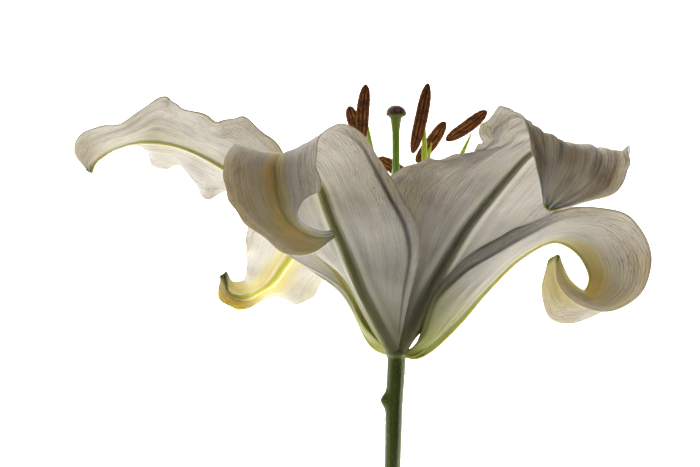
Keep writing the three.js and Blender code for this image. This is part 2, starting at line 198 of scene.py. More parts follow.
INNER_LOWER_RIGHT = [
    ((1.1, 2.1, -0.4), (2.3, 0.8, 0.4), (-0.6, 2.3, 0.4)),
    ((4.7, 8.2, 8), (9.6, 3, 9.5), (-2.5, 8, 10)),
    ((10.3, 19.4, 23), (24, 10, 27), (-4, 20, 27)),
    ((16.9, 31.8, 36), (37, 18, 45), (-4, 36, 41)),
    ((24.4, 45.9, 46), (49, 31, 52), (-1, 55, 50)),
    ((31, 58.3, 50), (56, 45, 50), (6, 68, 50)),
    ((36.6, 68.9, 48), (55, 60, 46), (16, 77, 46)),
    ((41, 77, 42), (53, 71, 40), (28, 83.5, 41)),
    ((42.5, 82, 37.5), (48, 79, 37), (36, 85, 38)),
    ((42, 84.5, 38), (43.5, 84, 38.2), (40.5, 85, 38.4)),
]
print("rows in the inner tepals:", len(INNER_LEFT), len(INNER_UPPER_RIGHT), len(INNER_LOWER_RIGHT))

# %% [markdown]
# ## The blade
# The blade starts as a flat grid, which gives clean rows and columns for free. Its left to right
# becomes margin to margin, and its bottom to top becomes base to tip. Each corner remembers
# where it is on the blade in attributes of its own: `across` from -1 to 1 and `along` from 0 to 1,
# and in millimetres `from_rib` and `reach`. `inner_face` is 1 on the side of the stamens. `golden`
# says how yellow the whole tepal is, and `crease` where the blade is crumpled. The finish reads
# those later, so the veins follow the petal through every curl. A few rounds of smoothing take
# out the unevenness of the listed points.

# %% A flat grid becomes the middle of a blade
ACROSS = 56
ALONG = 190
KEPT = ("across", "along", "from_rib", "reach", "inner_face", "golden", "crease")
COLUMN_CROWDING = 1.3  # above 1 puts columns closer together at the midrib
BOW_POWER = 1.6  # 2 is one smooth arc across the blade, 1 a sharp fold at the midrib
NIBBLE = 0.11  # how unevenly the margins are drawn, as a share of the half width
NIBBLE_POWER = 4  # the higher, the closer to the margin the unevenness stays
NIBBLES_ALONG = 17
SMOOTHING_ROUNDS = 4


def blade_sheet(rows, golden=0.0):
    """A bmesh of the blade's middle surface, with its attributes filled in."""
    rib, first, second = (smooth_line([row[k] for row in rows]) for k in range(3))
    bm = bmesh.new()
    bmesh.ops.create_grid(bm, x_segments=ACROSS, y_segments=ALONG, size=1)
    layers = {name: bm.verts.layers.float.new(name) for name in KEPT}
    reach = 0.0
    before = rib(0)
    stations = {}
    for step in range(ALONG + 1):
        u = step / ALONG
        middle, a, b = rib(u), first(u), second(u)
        reach += (middle - before).length
        before = middle
        stations[step] = (middle, (b - a) / 2, (a + b) / 2 - middle, reach)
    for v in bm.verts:
        u = (v.co.y + 1) / 2
        t = math.copysign(abs(v.co.x) ** COLUMN_CROWDING, v.co.x)
        middle, half, bow, reach = stations[round(u * ALONG)]
        bite = noise.noise(Vector((u * NIBBLES_ALONG, math.copysign(4, t), golden * 9)))
        uneven = 1 + NIBBLE * bite * abs(t) ** NIBBLE_POWER * ease(0.2, 0.4, u) * ease(1, 0.9, u)
        v.co = middle + half * (t * uneven) + bow * abs(t) ** BOW_POWER
        v[layers["across"]] = t
        v[layers["along"]] = u
        v[layers["from_rib"]] = t * half.length
        v[layers["reach"]] = reach
        v[layers["golden"]] = golden
    for _ in range(SMOOTHING_ROUNDS):
        bmesh.ops.smooth_vert(
            bm, verts=bm.verts[:], factor=0.5, use_axis_x=True, use_axis_y=True, use_axis_z=True
        )
    return bm, layers


trial, _ = blade_sheet(OUTER_RIGHT)
print("a blade has", len(trial.verts), "corners")
trial.free()

# %% [markdown]
# ## Frills, folds and thickness
# Real margins are longer than the blade behind them, so they have to wave. The wave grows with
# the cube of the distance from the midrib, and a second, finer one rides on it. Some margins
# also roll over into a narrow hem. The less golden a tepal is, the more its outer half is folded,
# and `crease` marks the sharp lines that run along it there. Then the sheet is extruded: the
# second layer of faces drops below the first by the blade's thickness, which is least at the
# margins, and further still under the midrib, where the keel stands out. A shallow channel
# follows the midrib on the inner face.

# %% From a sheet to a solid tepal
WAVE_POWER = 3  # the higher, the closer to the margin a blade waves
FINE_WAVE = 0.28  # height of the finer wave, as a share of the big one
FINE_WAVE_POWER = 6
FINE_WAVES = 2.7  # fine waves to each big one
BUCKLE = 0.9  # height of the slow buckling, as a share of the big wave
BUCKLES_PER_MM = 0.07
PUCKER_MM = 0.34
FOLDING = 0.6  # depth of the folds in a tepal that isn't golden at all
CREASE_LINES = 13  # how closely the crease lines lie side by side
RIB_HALF_MM = 0.5  # half the blade's thickness at the rib
MARGIN_LOSS_MM = 0.3  # what it has lost of that at the margin
TIP_LOSS = 0.3  # share of its thickness that the blade loses from base to tip
KEEL_LOSS = 0.72  # share of its height that the keel loses from base to tip
FLANK_MM = 0.35  # how much thicker the blade is beside the keel, at its base
FLANK_REACH = 3.2  # how far that goes, in keel widths
CHANNEL_MM = 0.55  # depth of the channel over the rib


def frill(u, t, place, waves, height, phase, folded):
    """How far, in millimetres, a point of the blade stands out of its middle surface."""
    fade = math.sin(math.pi * min(u * 1.02, 1)) ** 1.4
    turn = 2 * math.pi * waves * u + phase * math.copysign(1, t)
    big = height * abs(t) ** WAVE_POWER * math.sin(turn)
    fine = FINE_WAVE * height * abs(t) ** FINE_WAVE_POWER * math.sin(FINE_WAVES * turn + 1.3)
    slow = noise.noise(place * BUCKLES_PER_MM + Vector((phase, 0, 0)))
    buckle = BUCKLE * height * slow * ease(0.12, 0.55, abs(t))
    pucker = PUCKER_MM * noise.noise(Vector((t * 8 + phase, u * 11, phase)))
    folds = folded * height * ease(0.42, 0.62, u) * noise.noise(Vector((t * 9 + phase, u * 4.5, 7)))
    pucker = (pucker + folds) * ease(0.06, 0.2, abs(t))
    return fade * (big + fine) + (buckle + pucker) * ease(0, 0.2, u)


def tepal_mesh(rows, waves, height, phase, keel_width, keel_height, hems, golden):
    """A finished tepal in flower millimetres. Its hems are first the clockwise margin's."""
    bm, at = blade_sheet(rows, golden)
    bm.normal_update()
    upward = {v: -v.normal for v in bm.verts}
    for v in bm.verts:
        t, u = v[at["across"]], v[at["along"]]
        hem = hems[0] if t < 0 else hems[1]
        roll = hem * ease(0.84, 1.0, abs(t)) ** 1.2 * ease(0.08, 0.2, u) * ease(0.52, 0.36, u)
        v.co += upward[v] * (frill(u, t, v.co, waves, height, phase, FOLDING * (1 - golden)) + roll)
        line = noise.noise(Vector((t * CREASE_LINES + phase, u * 2.4, 3)))
        loose = min(height / 2, 1) * (1 - golden) * ease(0.44, 0.6, u)
        v[at["crease"]] = ease(0.16, 0.0, abs(line)) * loose
    bm.normal_update()
    upward = {v: -v.normal for v in bm.verts}
    under = bmesh.ops.extrude_face_region(bm, geom=bm.faces[:], use_keep_orig=True)
    second = {g for g in under["geom"] if isinstance(g, bmesh.types.BMVert)}
    by_place = {}
    for v in bm.verts:
        if v not in second:
            by_place[(v[at["across"]], v[at["along"]])] = upward[v]
    for v in bm.verts:
        t, u, wide = v[at["across"]], v[at["along"]], v[at["from_rib"]]
        up = by_place[(t, u)]
        thick = (RIB_HALF_MM - MARGIN_LOSS_MM * abs(t) ** 2.5) * (1 - TIP_LOSS * u)
        ribbed = math.exp(-((wide / keel_width) ** 2))
        if v in second:
            stand = keel_height * (1 - KEEL_LOSS * u**1.4) * ease(-0.06, 0.12, u)
            flank = FLANK_MM * math.exp(-((wide / (FLANK_REACH * keel_width)) ** 2))
            v.co -= up * (thick + stand * ribbed + flank * (1 - u))
            v[at["inner_face"]] = 0.0
        else:
            channel = CHANNEL_MM * ribbed * ease(0.0, 0.1, u) * ease(1.0, 0.75, u)
            v.co += up * (thick - channel)
            v[at["inner_face"]] = 1.0
    bmesh.ops.recalc_face_normals(bm, faces=bm.faces[:])
    return bm


margin_mm = 2 * (RIB_HALF_MM - MARGIN_LOSS_MM)
print(f"tepal maker ready: blade {2 * RIB_HALF_MM:.1f} mm at the rib, {margin_mm:.1f} mm at the margin")

# %% [markdown]
# ## Putting a piece in the scene
# Every piece ends the same way. Its mesh is laid down with the matrix from the start, smooth
# shaded and linked, and then it is told which CAD node it stands in for, which body it rides on
# and which material slot it belongs to. A petal is soft, so where it rests on the table it is
# pressed flat: no corner is let below it.

# %% One way to finish every piece
TABLE_SKIM = 0.0001  # metres from the table to the lowest corners


def add_object(name, data):
    """A new object in the scene."""
    added = bpy.data.objects.new(name, data)
    bpy.context.scene.collection.objects.link(added)
    return added


def finish_piece(bm, node, material):
    """Turns a bmesh in flower millimetres into the finished piece that stands in for a node."""
    name = node + "_fine"
    bmesh.ops.transform(bm, matrix=laid, verts=bm.verts[:])
    for v in bm.verts:
        v.co.z = max(v.co.z, TABLE_SKIM)
    mesh = bpy.data.meshes.new(name)
    bm.to_mesh(mesh)
    bm.free()
    for face in mesh.polygons:
        face.use_smooth = True
    piece = add_object(name, mesh)
    mesh.materials.append(material)
    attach(piece, "root")
    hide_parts(node)
    return piece


# %% [markdown]
# ## Wiring finishes
# Finishes are made of shader nodes. These few helpers keep the wiring readable: `plug` joins a
# node's output to an input or types a plain number there, and the rest each add one kind of
# node and hand back its output.


# %% Helpers for shader nodes
def plug(tree, socket, value):
    """Links an output to the socket, or sets the socket to a plain value."""
    if isinstance(value, bpy.types.NodeSocket):
        tree.links.new(value, socket)
    else:
        socket.default_value = value


def math_node(tree, kind, a, b=0.0):
    """One Math node of any kind."""
    node = tree.nodes.new("ShaderNodeMath")
    node.operation = kind
    plug(tree, node.inputs[0], a)
    plug(tree, node.inputs[1], b)
    return node.outputs[0]


def product(tree, value, *others):
    """Some values multiplied together."""
    for other in others:
        value = math_node(tree, "MULTIPLY", value, other)
    return value


def total(tree, a, b):
    """One value plus another."""
    return math_node(tree, "ADD", a, b)


def weighted(tree, *parts):
    """The sum of some masks, each times its own weight."""
    whole = product(tree, *parts[0])
    for mask, weight in parts[1:]:
        whole = total(tree, whole, product(tree, mask, weight))
    return whole


def soft_step(tree, value, start, end, at_start=0.0, at_end=1.0):
    """One value that turns smoothly into another as the input goes from start to end."""
    node = tree.nodes.new("ShaderNodeMapRange")
    node.interpolation_type = "SMOOTHSTEP"
    plug(tree, node.inputs["Value"], value)
    plug(tree, node.inputs["From Min"], start)
    plug(tree, node.inputs["From Max"], end)
    plug(tree, node.inputs["To Min"], at_start)
    plug(tree, node.inputs["To Max"], at_end)
    return node.outputs["Result"]


def tint(tree, amount, under, over):
    """The colour `under`, turned into `over` by the amount."""
    node = tree.nodes.new("ShaderNodeMix")
    node.data_type = "RGBA"
    plug(tree, node.inputs["Factor"], amount)
    plug(tree, node.inputs["A"], under)
    plug(tree, node.inputs["B"], over)
    return node.outputs["Result"]


def grain(tree, place, scale, detail=2.0, rough=0.5):
    """Cloudy noise from 0 to 1."""
    node = tree.nodes.new("ShaderNodeTexNoise")
    plug(tree, node.inputs["Vector"], place)
    plug(tree, node.inputs["Scale"], scale)
    plug(tree, node.inputs["Detail"], detail)
    plug(tree, node.inputs["Roughness"], rough)
    return node.outputs["Fac"]


def cells(tree, place, scale, feature="F1"):
    """How far a point is from the middle of its Voronoi cell, or from the cell's edge."""
    node = tree.nodes.new("ShaderNodeTexVoronoi")
    node.feature = feature
    plug(tree, node.inputs["Vector"], place)
    plug(tree, node.inputs["Scale"], scale)
    return node.outputs["Distance"]


def object_place(tree):
    """Where a point is on its own object, in metres."""
    return tree.nodes.new("ShaderNodeTexCoord").outputs["Object"]


def at_point(tree, x, y, z=0.0):
    """Three values as one place."""
    node = tree.nodes.new("ShaderNodeCombineXYZ")
    for socket, value in zip(node.inputs, (x, y, z)):
        plug(tree, socket, value)
    return node.outputs["Vector"]


def kept_value(tree, name):
    """What a mesh corner remembers under this name."""
    node = tree.nodes.new("ShaderNodeAttribute")
    node.attribute_name = name
    return node.outputs["Fac"]


def new_finish(name):
    """A material with its Principled BSDF, ready for wiring."""
    material = bpy.data.materials.new(name)
    material.use_nodes = True
    tree = material.node_tree
    return material, tree, tree.nodes["Principled BSDF"]


def set_knobs(shader, values):
    """Sets plain values on the shader's own inputs."""
    for label, value in values.items():
        shader.inputs[label].default_value = value


def bumped(tree, shader, height, distance, strength=1.0):
    """Feeds a height, in metres per unit, to the shader's normal."""
    node = tree.nodes.new("ShaderNodeBump")
    plug(tree, node.inputs["Height"], height)
    plug(tree, node.inputs["Distance"], distance)
    plug(tree, node.inputs["Strength"], strength)
    tree.links.new(node.outputs["Normal"], shader.inputs["Normal"])


def new_group(name, inputs, outputs):
    """An empty node group, from the names and kinds of its inputs and outputs."""
    group = bpy.data.node_groups.new(name, "ShaderNodeTree")
    for direction, sockets in (("INPUT", inputs), ("OUTPUT", outputs)):
        for label, kind in sockets.items():
            group.interface.new_socket(label, in_out=direction, socket_type="NodeSocket" + kind)
    given = group.nodes.new("NodeGroupInput").outputs
    gives = group.nodes.new("NodeGroupOutput").inputs
    return group, given, gives


def add_group(tree, group, values):
    """The outputs of a node group, put in a tree with these values on its inputs."""
    node = tree.nodes.new("ShaderNodeGroup")
    node.node_tree = group
    for label, value in values.items():
        plug(tree, node.inputs[label], value)
    return node.outputs


print("shader helpers ready")

# %% [markdown]
# ## The pattern of a petal
# Hold a lily petal to the light and its plumbing shows: main veins run from base to tip and fan
# out towards the margins, finer ones run between them, and near the margins they join in a net.
# All tepals share this pattern, so it is one node group with two knobs: how many veins a half
# has, and how strong the net is. It is told where a point is on the blade, and gives back three
# masks.


# %% The vein group
def make_vein_group():
    """Masks of the main veins, the fine veins and the net, on a tepal's own coordinates."""
    inputs = {"Across": "Float", "Reach": "Float", "Veins": "Float", "Net Strength": "Float"}
    outputs = {"Main": "Float", "Fine": "Float", "Net": "Float"}
    group, given, gives = new_group("tepal veins", inputs, outputs)
    across, reach = given["Across"], given["Reach"]

    slow = at_point(group, product(group, across, 2.2), product(group, reach, 0.035))
    sway = math_node(group, "SUBTRACT", grain(group, slow, 1.0), 0.5)
    fan = soft_step(group, reach, 0.0, 130.0, 1.75, 0.7)
    lanes = product(group, across, fan, given["Veins"])
    swayed = total(group, lanes, product(group, sway, 2.6))
    crest = soft_step(group, math_node(group, "PINGPONG", swayed, 0.5), 0.0, 0.15, 1.0, 0.0)
    uneven = grain(group, at_point(group, product(group, lanes, 0.9), product(group, reach, 0.05)), 1.0)
    main = product(group, crest, soft_step(group, uneven, 0.3, 0.62, 0.1, 1.0))

    quick = at_point(group, product(group, across, 7.0), product(group, reach, 0.11))
    shiver = product(group, math_node(group, "SUBTRACT", grain(group, quick, 1.0, 3.0), 0.5), 2.4)
    narrow = total(group, product(group, swayed, 3.0), shiver)
    fine = soft_step(group, math_node(group, "PINGPONG", narrow, 0.5), 0.0, 0.3, 1.0, 0.0)

    netted = at_point(
        group,
        product(group, swayed, 1.5),
        total(group, product(group, reach, 0.26), product(group, shiver, 0.5)),
    )
    threads = soft_step(group, cells(group, netted, 1.0, "DISTANCE_TO_EDGE"), 0.0, 0.09, 1.0, 0.0)
    outward = soft_step(group, math_node(group, "ABSOLUTE", across), 0.25, 0.8)
    net = product(group, threads, outward, given["Net Strength"])

    for name, mask in (("Main", main), ("Fine", fine), ("Net", net)):
        group.links.new(mask, gives[name])
    return group


tepal_veins = make_vein_group()
print("the vein group gives:", [s.name for s in tepal_veins.interface.items_tree if s.in_out == "OUTPUT"])

# %% [markdown]
# ## The finish of a tepal
# A lily's white has no pigment in it. It is clear, sugary cells full of air gaps, and light
# goes through it and scatters. Subsurface scattering does just that: with a reach of about a
# millimetre in a blade no thicker than that, much of the light comes out on the other side.
# Pigment lies mostly along the midrib: yellow beside it, olive green on the keel. Towards the foot
# the whole blade is greener. The finish also paints light and shade: a pale highlight on each side
# of the keel, shade along the crease lines, and a dark shadow where a margin rolls into its hem.

# %% The petal material
PETAL_WHITE = (0.90, 0.885, 0.85, 1)
THICK_PETAL = (0.60, 0.575, 0.46, 1)
# the grey of the veins, also used as painted shade along the crease lines
VEIN_AND_CREASE_SHADE_GREY = (0.34, 0.30, 0.24, 1)
HEM_SHADOW = (0.13, 0.115, 0.095, 1)
MARGIN_BROWN = (0.42, 0.36, 0.28, 1)
DULL_FOOT = (0.14, 0.135, 0.03, 1)
LIVELY_FOOT = (0.42, 0.45, 0.05, 1)
# a painted highlight in a pale band beside the keel
KEEL_HIGHLIGHT_CREAM = (0.96, 0.95, 0.86, 1)
TIP_GREEN = (0.34, 0.40, 0.04, 1)
PETAL_RELIEF = 0.0007  # metres of bump for each unit of height


def make_tepal_finish(name, keel_colour, keel_end, flank_colour, yellowness, front, hem_shadow_weight, veins, net):
    """White, veined petal skin, coloured midrib, painted keel highlight, crease shade and hem shadow."""
    material, tree, shader = new_finish(name)
    across, along = kept_value(tree, "across"), kept_value(tree, "along")
    reach, inner = kept_value(tree, "reach"), kept_value(tree, "inner_face")
    from_rib = math_node(tree, "ABSOLUTE", kept_value(tree, "from_rib"))
    outer = math_node(tree, "SUBTRACT", 1.0, inner)
    golden = kept_value(tree, "golden")

    blade_marks = {"Across": across, "Reach": reach, "Veins": veins, "Net Strength": net}
    masks = add_group(tree, tepal_veins, blade_marks)
    main, fine, netted = (masks[k] for k in ("Main", "Fine", "Net"))

    blade_place = at_point(tree, kept_value(tree, "from_rib"), reach)
    cloud = grain(tree, blade_place, 0.09, 3.0)
    silk = at_point(tree, product(tree, across, 42.0), product(tree, reach, 0.035))
    streak = grain(tree, silk, 1.0, 5.0, 0.68)
    crumpled = kept_value(tree, "crease")
    # Vein marks, cloud and streaks are the petal's own tone; the crease lines add painted shade.
    shade = weighted(
        tree,
        (main, 0.36),
        (fine, 0.26),
        (netted, 0.26),
        (soft_step(tree, cloud, 0.35, 0.75), 0.2),
        (soft_step(tree, streak, 0.38, 0.75), 0.32),
        (crumpled, 0.3),
    )
    thick = soft_step(tree, reach, 8.0, 85.0, 0.7, 0.0)
    bright = tint(tree, thick, PETAL_WHITE, THICK_PETAL)
    white = tint(tree, shade, bright, VEIN_AND_CREASE_SHADE_GREY)

    out = math_node(tree, "ABSOLUTE", across)
    # Painted shadow: a dark line where the margin rolls over into its hem.
    seam = product(tree, soft_step(tree, out, 0.83, 0.87), soft_step(tree, out, 0.91, 0.87))
    seam = product(tree, seam, soft_step(tree, along, 0.5, 0.3))
    white = tint(tree, product(tree, seam, hem_shadow_weight), white, HEM_SHADOW)
    margin = soft_step(tree, out, 0.955, 1.0)
    white = tint(tree, product(tree, margin, 0.55), white, MARGIN_BROWN)

    lively = soft_step(tree, golden, 0.3, 0.9)
    foot_green = tint(tree, lively, DULL_FOOT, LIVELY_FOOT)
    fading = soft_step(tree, along, 0.15, 0.55, 0.4, 1.0)
    fading = product(tree, fading, soft_step(tree, along, 0.8, 0.99, 1.0, 0.4))
    spread = total(tree, product(tree, golden, 8.0), 4.0)
    glow_width = soft_step(tree, along, 0.25, 0.6, 4.0, spread)
    glow = soft_step(tree, from_rib, 0.5, glow_width, 1.0, 0.0)
    glow = product(tree, glow, fading)
    own = soft_step(tree, golden, 0.0, 1.0, 0.55, 1.0)
    flank = product(tree, glow, soft_step(tree, shade, 0.0, 1.0, yellowness, 0.3))
    flank = product(tree, flank, own)
    ribbed = tint(tree, flank, white, flank_colour)

    keel_width = soft_step(tree, along, 0.0, 0.8, 2.6, 1.1)
    near_rib = soft_step(tree, from_rib, 1.5, 9.0, 1.0, 0.0)
    low = product(tree, near_rib, soft_step(tree, reach, 20.0, 80.0, 1.0, 0.0))
    low = product(tree, low, outer, 0.7)
    ribbed = tint(tree, low, ribbed, foot_green)
    # Painted highlight: a pale band on each side of the keel, on the outer face.
    beside = math_node(tree, "DIVIDE", from_rib, keel_width)
    keel_highlight = product(tree, soft_step(tree, beside, 0.95, 1.25), soft_step(tree, beside, 2.3, 1.5))
    keel_highlight = product(tree, keel_highlight, outer, 0.6)
    ribbed = tint(tree, keel_highlight, ribbed, KEEL_HIGHLIGHT_CREAM)
    keel = soft_step(tree, from_rib, product(tree, keel_width, 0.45), keel_width, 1.0, 0.0)
    on_back = product(tree, keel, outer)
    seen_through = soft_step(tree, from_rib, 0.2, 0.7, 1.0, 0.0)
    on_front = product(tree, seen_through, inner, product(tree, golden, front))
    ageing = product(tree, soft_step(tree, along, 0.2, 0.62), soft_step(tree, golden, 0.0, 0.8, 0.12, 1.0))
    turning = math_node(tree, "MAXIMUM", ageing, product(tree, lively, 0.85))
    keel_tint = tint(tree, turning, keel_colour, keel_end)
    patchy = soft_step(tree, streak, 0.25, 0.85, 1.0, 0.72)
    greened = tint(tree, product(tree, on_back, patchy), ribbed, keel_tint)
    greened = tint(tree, on_front, greened, keel_tint)
    foot = product(tree, soft_step(tree, reach, 2.0, 44.0, 1.0, 0.0), 0.85)
    footed = tint(tree, foot, greened, foot_green)
    tip = soft_step(tree, along, 0.975, 0.995)
    colour = tint(tree, tip, footed, TIP_GREEN)

    tree.links.new(colour, shader.inputs["Base Color"])
    set_knobs(shader, {"Subsurface Weight": 1.0, "Subsurface Scale": 0.0011, "IOR": 1.38})
    set_knobs(shader, {"Subsurface Radius": (1.0, 0.86, 0.62)})
    set_knobs(shader, {"Sheen Weight": 0.12, "Sheen Roughness": 0.45})
    rough = weighted(tree, (cloud, 0.2), (main, -0.08))
    tree.links.new(total(tree, rough, 0.42), shader.inputs["Roughness"])

    pores = grain(tree, blade_place, 2.6, 2.0)
    raised = weighted(
        tree, (main, 0.55), (fine, 0.3), (netted, 0.45), (pores, 0.25), (streak, 0.5), (crumpled, -0.8)
    )
    bumped(tree, shader, raised, PETAL_RELIEF)
    return material


OLIVE = (0.12, 0.115, 0.003, 1)
LIME = (0.66, 0.62, 0.02, 1)
DEEP_OLIVE = (0.055, 0.046, 0.001, 1)
MOSS = (0.44, 0.39, 0.01, 1)
YELLOW = (0.88, 0.76, 0.12, 1)
BUTTER = (0.76, 0.72, 0.42, 1)
outer_finish = make_tepal_finish("tepal, outer", OLIVE, LIME, YELLOW, 1.0, 0.9, 0.9, 24.0, 0.9)
inner_finish = make_tepal_finish("tepal, inner", DEEP_OLIVE, MOSS, BUTTER, 0.4, 0.1, 0.15, 28.0, 1.0)
print("petal finishes:", outer_finish.name, "and", inner_finish.name)

# %% [markdown]
# ## The six tepals
# Now each tepal is made from its rows. The frills differ: outer tepals wave a little, inner ones
# a lot. Each row gives the node, the lines, the number of waves, their height and where they
# begin, the keel's half width and height, how far each margin rolls into a hem, how golden the
# tepal is, and its finish. All lengths are millimetres.

# %% Make the tepals
OUTER_KEEL = (1.75, 1.7)
INNER_KEEL = (1.5, 1.4)
TEPALS = (
    ("outer_tepal_right", OUTER_RIGHT, 5, 0.8, 0.4, OUTER_KEEL, (4.2, 0.8), 0.8, outer_finish),
    ("outer_tepal_upper_left", OUTER_UPPER_LEFT, 4, 0.8, 1.2, OUTER_KEEL, (0.8, 4.2), 0.35, outer_finish),
    ("outer_tepal_lower_left", OUTER_LOWER_LEFT, 5, 0.9, 2.2, OUTER_KEEL, (0.8, 0.8), 1.0, outer_finish),
    ("inner_tepal_left", INNER_LEFT, 6, 1.9, 0.9, INNER_KEEL, (0.6, 0.6), 0.9, inner_finish),
    ("inner_tepal_upper_right", INNER_UPPER_RIGHT, 7, 2.1, 2.0, INNER_KEEL, (1.6, 0.8), 0.1, inner_finish),
    ("inner_tepal_lower_right", INNER_LOWER_RIGHT, 5, 1.4, 1.5, INNER_KEEL, (0.8, 0.8), 0.3, inner_finish),
)
for node, rows, waves, height, phase, keel, hems, golden, finish in TEPALS:
    solid = tepal_mesh(rows, waves, height, phase, keel[0], keel[1], hems, golden)
    finish_piece(solid, node, finish)
    print(node, "made")

# %% [markdown]
# ## Round pieces
# The stalk, stamens and pistil are all round things that follow a line. A flat grid rolled into
# a tube makes each of them: left to right goes around, bottom to top goes along. The seam is
# merged and the ends are closed. The radius is a function, so one recipe gives a stalk with a
# leaf scar, a grooved pollen case and a lobed stigma. Each corner remembers `side_x` and
# `side_y`, its direction from the line, which run smoothly all the way round where an angle
# would jump.

# %% Roll a grid into a tube
NEARBY = 0.01  # step along the line that gives its direction
LUMPS_PER_MM = 1.1
MERGED_MM = 1e-4  # corners closer than this are one, at the seam


def round_piece(line, radius_at, sides, steps, facing, flat=1.0, rough_by=0.0):
    """A closed tube around a line in flower millimetres, its radius given by (along, angle)."""
    bm = bmesh.new()
    bmesh.ops.create_grid(bm, x_segments=sides, y_segments=steps, size=1)
    kept = ("side_x", "side_y", "along", "reach")
    layers = {name: bm.verts.layers.float.new(name) for name in kept}
    rings = {}
    reach = 0.0
    for step in range(steps + 1):
        u = step / steps
        centre = line(u)
        ahead = (line(min(u + NEARBY, 1)) - line(max(u - NEARBY, 0))).normalized()
        deep = ahead.cross(facing).normalized()
        wide = deep.cross(ahead).normalized()
        reach += (centre - line(max(u - 1 / steps, 0))).length
        rings[step] = (centre, wide, deep, reach)
    for v in bm.verts:
        angle = math.pi * (v.co.x + 1)
        u = (v.co.y + 1) / 2
        centre, wide, deep, reach = rings[round(u * steps)]
        radius = radius_at(u, angle)
        side = wide * math.cos(angle) + deep * (flat * math.sin(angle))
        place = centre + side * radius
        lump = rough_by * noise.noise(place * LUMPS_PER_MM) * min(radius, 1)
        v.co = place + side * lump
        v[layers["side_x"]] = math.cos(angle)
        v[layers["side_y"]] = math.sin(angle)
        v[layers["along"]] = u
        v[layers["reach"]] = reach
    bmesh.ops.remove_doubles(bm, verts=bm.verts[:], dist=MERGED_MM)
    open_edges = [e for e in bm.edges if e.is_boundary]
    bmesh.ops.holes_fill(bm, edges=open_edges, sides=0)
    bmesh.ops.recalc_face_normals(bm, faces=bm.faces[:])
    return bm


print("round pieces ready")

# %% [markdown]
# ## The flower stalk
# The stalk is juicy and smooth, a little thicker towards the flower, where it widens into the
# receptacle that carries the tepals. A small pointed swelling is left where a bract fell off. Where
# it was cut, the cut face shows pale pith inside a green skin, so the end face is inset three times
# and the inner part remembers that it is `cut`.

# %% Make the stalk
STALK_LENGTH = 92.5
STALK_TOP = 2.4  # the stalk ends this far inside the cup
CUT_RADIUS = 2.3
FLARE = 0.8  # how far the receptacle stands out beyond the stalk
SCAR_BELOW = 17.5  # the scar's distance below the tepals
SCAR_HEIGHT = 1.9
SCAR_SPREAD = 2.4
SCAR_POWER = 5  # the higher, the narrower the scar is around the stalk
STALK = smooth_line(
    [
        (-4.5, 0, -STALK_LENGTH),
        (-3.2, 0, -70),
        (-1.6, 0, -40),
        (-1.0, 0, -18),
        (-0.4, 0, -8),
        (0, 0, STALK_TOP),
    ]
)
EAST = Vector((1, 0, 0))


def stalk_radius(u, angle):
    """The stalk's radius in millimetres, with the scar on its left and the widened top."""
    up = STALK(u).z
    plain = CUT_RADIUS + (up + STALK_LENGTH) / STALK_LENGTH
    flare = FLARE * ease(-2.6, -0.4, up)
    level = math.exp(-(((up + SCAR_BELOW) / SCAR_SPREAD) ** 2))
    scar = SCAR_HEIGHT * level * max(math.cos(angle - math.pi), 0) ** SCAR_POWER
    ridges = 0.05 * math.cos(7 * angle + 1) + 0.03 * math.cos(13 * angle)
    return (plain + flare + scar + ridges) * (1 - 0.85 * ease(0.2, STALK_TOP, up) ** 2)


stalk = round_piece(STALK, stalk_radius, 64, 220, EAST, rough_by=0.08)
cut = stalk.verts.layers.float.new("cut")
# The faces of the skin have four corners, so a face of more than eight is one of the two ends.
end = min((f for f in stalk.faces if len(f.verts) > 8), key=lambda f: f.calc_center_median().z)
for thickness, depth in ((0.25, 0.0), (0.5, -0.12), (0.7, 0.0)):
    bmesh.ops.inset_region(stalk, faces=[end], thickness=thickness, depth=depth, use_even_offset=True)
    for v in end.verts:
        v[cut] = 1.0
print("stalk corners:", len(stalk.verts))

# %% [markdown]
# The stalk, the pistil and the filaments have the same kind of skin: smooth living green, with
# fine streaks along it and a few pale specks. It is one node group, and each piece sets its own
# two greens, how many streaks it has, how strong the specks are and how rough it is.


# %% The green skin group
def make_green_group():
    """The colour, roughness and height of green skin, on a round piece's own coordinates."""
    inputs = {"Light": "Color", "Dark": "Color", "Streaks": "Float", "Specks": "Float", "Rough": "Float"}
    outputs = {"Colour": "Color", "Roughness": "Float", "Height": "Float"}
    group, given, gives = new_group("green skin", inputs, outputs)
    turned = at_point(
        group,
        product(group, kept_value(group, "side_x"), given["Streaks"]),
        product(group, kept_value(group, "side_y"), given["Streaks"]),
        product(group, kept_value(group, "reach"), 0.03),
    )
    streak = grain(group, turned, 1.0, 4.0, 0.55)
    colour = tint(group, soft_step(group, streak, 0.3, 0.7), given["Light"], given["Dark"])
    place = object_place(group)
    dot = soft_step(group, cells(group, place, 900.0), 0.1, 0.3, 1.0, 0.0)
    few = soft_step(group, grain(group, place, 260.0, 1.0), 0.5, 0.62)
    dotted = product(group, dot, few, given["Specks"])
    speckled = tint(group, dotted, colour, (0.52, 0.55, 0.3, 1))
    rough = total(group, product(group, streak, 0.22), given["Rough"])
    height = total(group, streak, product(group, dotted, 0.7))
    for name, value in (("Colour", speckled), ("Roughness", rough), ("Height", height)):
        group.links.new(value, gives[name])
    return group


green_group = make_green_group()
print("the green skin group has", len(green_group.nodes), "nodes")

# %% [markdown]
# Each green material hands back its colour, so that a piece can be tinted further. The stalk is
# paler below, yellower at the top, and shows the pith where it is cut.

# %% The stalk's finish
GREEN_RELIEF = 0.00015  # metres of bump for each unit of height


